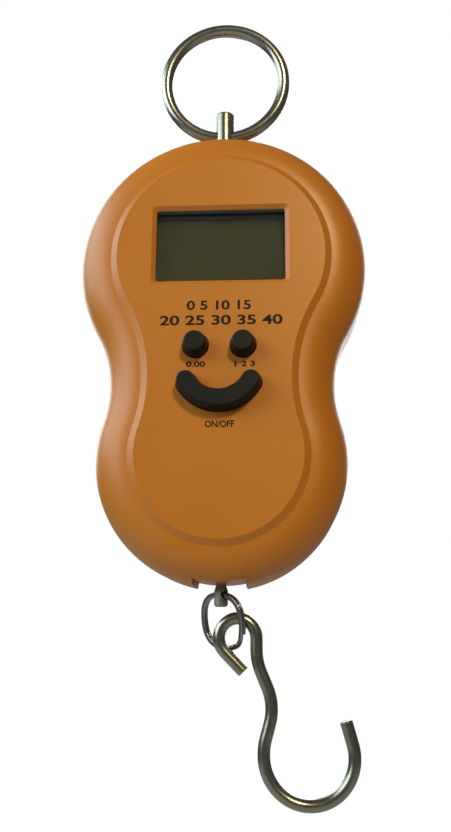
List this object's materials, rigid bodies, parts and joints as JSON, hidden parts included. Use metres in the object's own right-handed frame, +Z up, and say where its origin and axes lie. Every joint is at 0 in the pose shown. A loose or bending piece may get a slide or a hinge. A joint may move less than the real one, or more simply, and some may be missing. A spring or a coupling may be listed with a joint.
{
  "type": "digital hanging scale",
  "caption": "Handheld digital hanging scale: two-lobed moulded case with a display window and rubber keys, a swinging ring on top, and a wire hook on a link below.",
  "frame": {"origin": "the point on the inside of the hanging ring, at its top, where the ring rests on what holds it up", "axes": "+Z up along the load line from hook to ring, the display faces -Y, +X to the right as seen from the display"},
  "size_m": [0.075, 0.033, 0.2103],
  "materials": {
    "case_plastic": "satin moulded, fine grain",
    "key_rubber": "matte moulded rubber",
    "ring_chrome": "bright plated",
    "hook_chrome": "bright plated",
    "stem_steel": "satin",
    "window_clear": "clear window",
    "lcd_olive": "polariser film over glass",
    "frame_black": "moulded",
    "glow_white": "light guide",
    "strip_rubber": "layered conductive rubber",
    "board_green": "solder mask",
    "chip_black": "moulded",
    "parts_tan": "fired body",
    "cell_aluminium": "milled",
    "gauge_amber": "film",
    "lead_red": "wire sleeve",
    "screw_steel": "zinc plated",
    "battery_skin": "printed sleeve, bare",
    "contact_nickel": "nickel plated"
  },
  "bodies": {
    "ring": {"hanging_ring": "ring_chrome"},
    "post": {"top_post": "ring_chrome", "top_nut": "stem_steel"},
    "case": {"front_case": "case_plastic", "rear_case": "case_plastic", "display_window": "window_clear", "display_frame": "frame_black", "display_glass": "lcd_olive", "backlight_panel": "glow_white", "contact_strips": "strip_rubber", "circuit_board": "board_green", "board_chip": "chip_black", "board_parts": "parts_tan", "key_switches": "chip_black", "board_screws": "screw_steel", "load_cell": "cell_aluminium", "load_cell_screws": "screw_steel", "strain_gauges": "gauge_amber", "gauge_leads": "lead_red", "battery_left": "battery_skin", "battery_right": "battery_skin", "battery_springs": "contact_nickel", "contact_plates": "contact_nickel", "bridge_plate": "contact_nickel", "battery_leads": "lead_red", "case_screws": "screw_steel"},
    "tare_key": {"tare_button": "key_rubber"},
    "unit_key": {"unit_button": "key_rubber"},
    "power_key": {"power_button": "key_rubber"},
    "door": {"battery_door": "case_plastic"},
    "stem": {"hook_stem": "stem_steel", "stem_nut": "stem_steel"},
    "link": {"hook_link": "hook_chrome"},
    "hook": {"hook": "hook_chrome"}
  },
  "joints": [
    {"name": "ring_swing", "type": "hinge", "parent": "ring", "child": "post", "pos_m": [0, 0.00277, -0.03168], "axis": [1, 0, 0], "range_deg": [-80, 80]},
    {"name": "case_turn", "type": "hinge", "parent": "post", "child": "case", "pos_m": [0, 0.00277, -0.03618], "axis": [0, 0, 1], "continuous": true},
    {"name": "tare_press", "type": "slide", "parent": "case", "child": "tare_key", "axis": [0, 1, 0], "range_m": [0, 0.0008], "stiffness_N_per_m": 800, "springref_m": -0.0006},
    {"name": "unit_press", "type": "slide", "parent": "case", "child": "unit_key", "axis": [0, 1, 0], "range_m": [0, 0.0008], "stiffness_N_per_m": 800, "springref_m": -0.0006},
    {"name": "power_press", "type": "slide", "parent": "case", "child": "power_key", "axis": [0, 1, 0], "range_m": [0, 0.0008], "stiffness_N_per_m": 800, "springref_m": -0.0006},
    {"name": "door_lift", "type": "slide", "parent": "case", "child": "door", "axis": [0, 1, 0], "range_m": [0, 0.02]},
    {"name": "stem_turn", "type": "hinge", "parent": "case", "child": "stem", "pos_m": [0, 0.00277, -0.15708], "axis": [0, 0, 1], "continuous": true},
    {"name": "link_swing", "type": "hinge", "parent": "stem", "child": "link", "pos_m": [0, 0.00277, -0.15808], "axis": [0.7193, -0.6947, 0], "range_deg": [-60, 40]},
    {"name": "hook_swing", "type": "hinge", "parent": "link", "child": "hook", "pos_m": [0.0042, 0.00182, -0.16829], "axis": [0, 1, 0], "range_deg": [-50, 90]}
  ]
}
